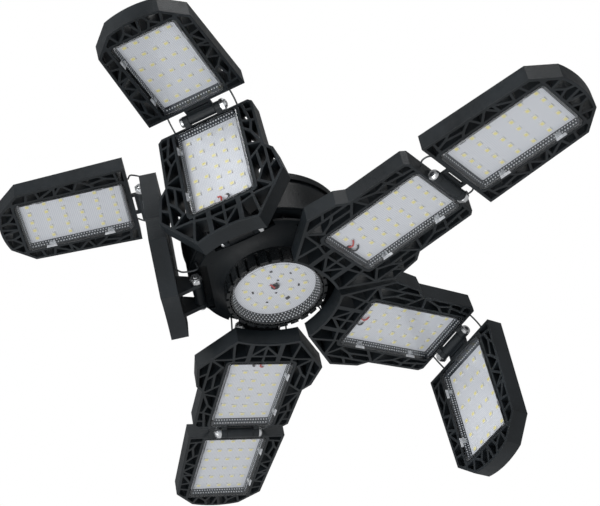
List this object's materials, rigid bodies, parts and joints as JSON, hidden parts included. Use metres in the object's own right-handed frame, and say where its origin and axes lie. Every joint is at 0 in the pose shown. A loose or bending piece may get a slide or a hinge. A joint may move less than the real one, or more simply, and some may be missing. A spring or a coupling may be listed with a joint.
{
  "type": "deformable garage light",
  "caption": "Screw-in garage ceiling light: a vented round hub lamp with folding arms, each two hinged lamp panels in black cracked-lattice frames.",
  "frame": {"origin": "centre of the screw base's seat, where the lamp holder meets the neck", "axes": "+Z along the lamp's axis up to the screw base, the lamps face -Z; +X towards arm_1"},
  "size_m": [0.4025, 0.4247, 0.2385],
  "materials": {
    "housing_black": "satin moulded plastic",
    "frame_black": "matte moulded plastic",
    "board_white": "white lacquered lamp board",
    "led_yellow": "phosphor-filled lamp chips",
    "clear_lens": "clear moulded plastic with prisms at the border",
    "zinc_steel": "zinc-plated steel",
    "base_metal": "nickel-plated brass",
    "black_glass": "black insulating glass",
    "driver_green": "circuit board",
    "lead_grey": "thin insulated lead"
  },
  "bodies": {
    "root": {"screw_shell": "base_metal", "tip_contact": "base_metal", "base_insulator": "black_glass", "base_neck": "housing_black", "drum_cover": "housing_black", "drum_housing": "housing_black", "hinge_hub": "housing_black", "vent_ring": "housing_black", "round_board": "board_white", "round_leds": "led_yellow", "round_lens": "clear_lens", "driver_board": "driver_green", "disc_screws": "zinc_steel", "hub_bolts": "zinc_steel"},
    "arm_1_inner": {"arm_1_inner_frame": "frame_black", "arm_1_inner_board": "board_white", "arm_1_inner_lens": "clear_lens", "arm_1_elbow_bolt": "zinc_steel", "arm_1_elbow_leads": "lead_grey", "arm_1_hub_leads": "lead_grey"},
    "arm_1_outer": {"arm_1_outer_frame": "frame_black", "arm_1_outer_board": "board_white", "arm_1_outer_lens": "clear_lens"},
    "arm_2_inner": {"arm_2_inner_frame": "frame_black", "arm_2_inner_board": "board_white", "arm_2_inner_lens": "clear_lens", "arm_2_elbow_bolt": "zinc_steel", "arm_2_elbow_leads": "lead_grey", "arm_2_hub_leads": "lead_grey"},
    "arm_2_outer": {"arm_2_outer_frame": "frame_black", "arm_2_outer_board": "board_white", "arm_2_outer_lens": "clear_lens"},
    "arm_3_inner": {"arm_3_inner_frame": "frame_black", "arm_3_inner_board": "board_white", "arm_3_inner_lens": "clear_lens", "arm_3_elbow_bolt": "zinc_steel", "arm_3_elbow_leads": "lead_grey", "arm_3_hub_leads": "lead_grey"},
    "arm_3_outer": {"arm_3_outer_frame": "frame_black", "arm_3_outer_board": "board_white", "arm_3_outer_lens": "clear_lens"},
    "arm_4_inner": {"arm_4_inner_frame": "frame_black", "arm_4_inner_board": "board_white", "arm_4_inner_lens": "clear_lens", "arm_4_elbow_bolt": "zinc_steel", "arm_4_elbow_leads": "lead_grey", "arm_4_hub_leads": "lead_grey"},
    "arm_4_outer": {"arm_4_outer_frame": "frame_black", "arm_4_outer_board": "board_white", "arm_4_outer_lens": "clear_lens"},
    "arm_5_inner": {"arm_5_inner_frame": "frame_black", "arm_5_inner_board": "board_white", "arm_5_inner_lens": "clear_lens", "arm_5_elbow_bolt": "zinc_steel", "arm_5_elbow_leads": "lead_grey", "arm_5_hub_leads": "lead_grey"},
    "arm_5_outer": {"arm_5_outer_frame": "frame_black", "arm_5_outer_board": "board_white", "arm_5_outer_lens": "clear_lens"}
  },
  "joints": [
    {"name": "arm_1_hub_hinge", "type": "hinge", "parent": "root", "child": "arm_1_inner", "pos_m": [0.0523, 0, -0.069], "axis": [0, 1, 0], "range_deg": [-2, 95], "deforming": ["arm_1_hub_leads"]},
    {"name": "arm_1_elbow_hinge", "type": "hinge", "parent": "arm_1_inner", "child": "arm_1_outer", "pos_m": [0.07924, 0, 0.0268], "axis": [0, 1, 0], "range_deg": [-99, 13], "deforming": ["arm_1_elbow_leads"]},
    {"name": "arm_2_hub_hinge", "type": "hinge", "parent": "root", "child": "arm_2_inner", "pos_m": [0.01616, 0.04974, -0.069], "axis": [-0.9511, 0.309, 0], "range_deg": [-94, 3], "deforming": ["arm_2_hub_leads"]},
    {"name": "arm_2_elbow_hinge", "type": "hinge", "parent": "arm_2_inner", "child": "arm_2_outer", "pos_m": [0.04546, 0.1399, -0.09927], "axis": [-0.9511, 0.309, 0], "range_deg": [-3, 109], "deforming": ["arm_2_elbow_leads"]},
    {"name": "arm_3_hub_hinge", "type": "hinge", "parent": "root", "child": "arm_3_inner", "pos_m": [-0.04231, 0.03074, -0.069], "axis": [-0.5878, -0.809, 0], "range_deg": [-89, 8], "deforming": ["arm_3_hub_leads"]},
    {"name": "arm_3_elbow_hinge", "type": "hinge", "parent": "arm_3_inner", "child": "arm_3_outer", "pos_m": [-0.12085, 0.0878, -0.09089], "axis": [-0.5878, -0.809, 0], "range_deg": [-97, 15], "deforming": ["arm_3_elbow_leads"]},
    {"name": "arm_4_hub_hinge", "type": "hinge", "parent": "root", "child": "arm_4_inner", "pos_m": [-0.04231, -0.03074, -0.069], "axis": [0.5878, -0.809, 0], "range_deg": [-88, 9], "deforming": ["arm_4_hub_leads"]},
    {"name": "arm_4_elbow_hinge", "type": "hinge", "parent": "arm_4_inner", "child": "arm_4_outer", "pos_m": [-0.12115, -0.08802, -0.08919], "axis": [0.5878, -0.809, 0], "range_deg": [-3, 109], "deforming": ["arm_4_elbow_leads"]},
    {"name": "arm_5_hub_hinge", "type": "hinge", "parent": "root", "child": "arm_5_inner", "pos_m": [0.01616, -0.04974, -0.069], "axis": [0.9511, 0.309, 0], "range_deg": [-2, 95], "deforming": ["arm_5_hub_leads"]},
    {"name": "arm_5_elbow_hinge", "type": "hinge", "parent": "arm_5_inner", "child": "arm_5_outer", "pos_m": [0.02449, -0.07536, 0.0268], "axis": [0.9511, 0.309, 0], "range_deg": [-93, 19], "deforming": ["arm_5_elbow_leads"]}
  ]
}
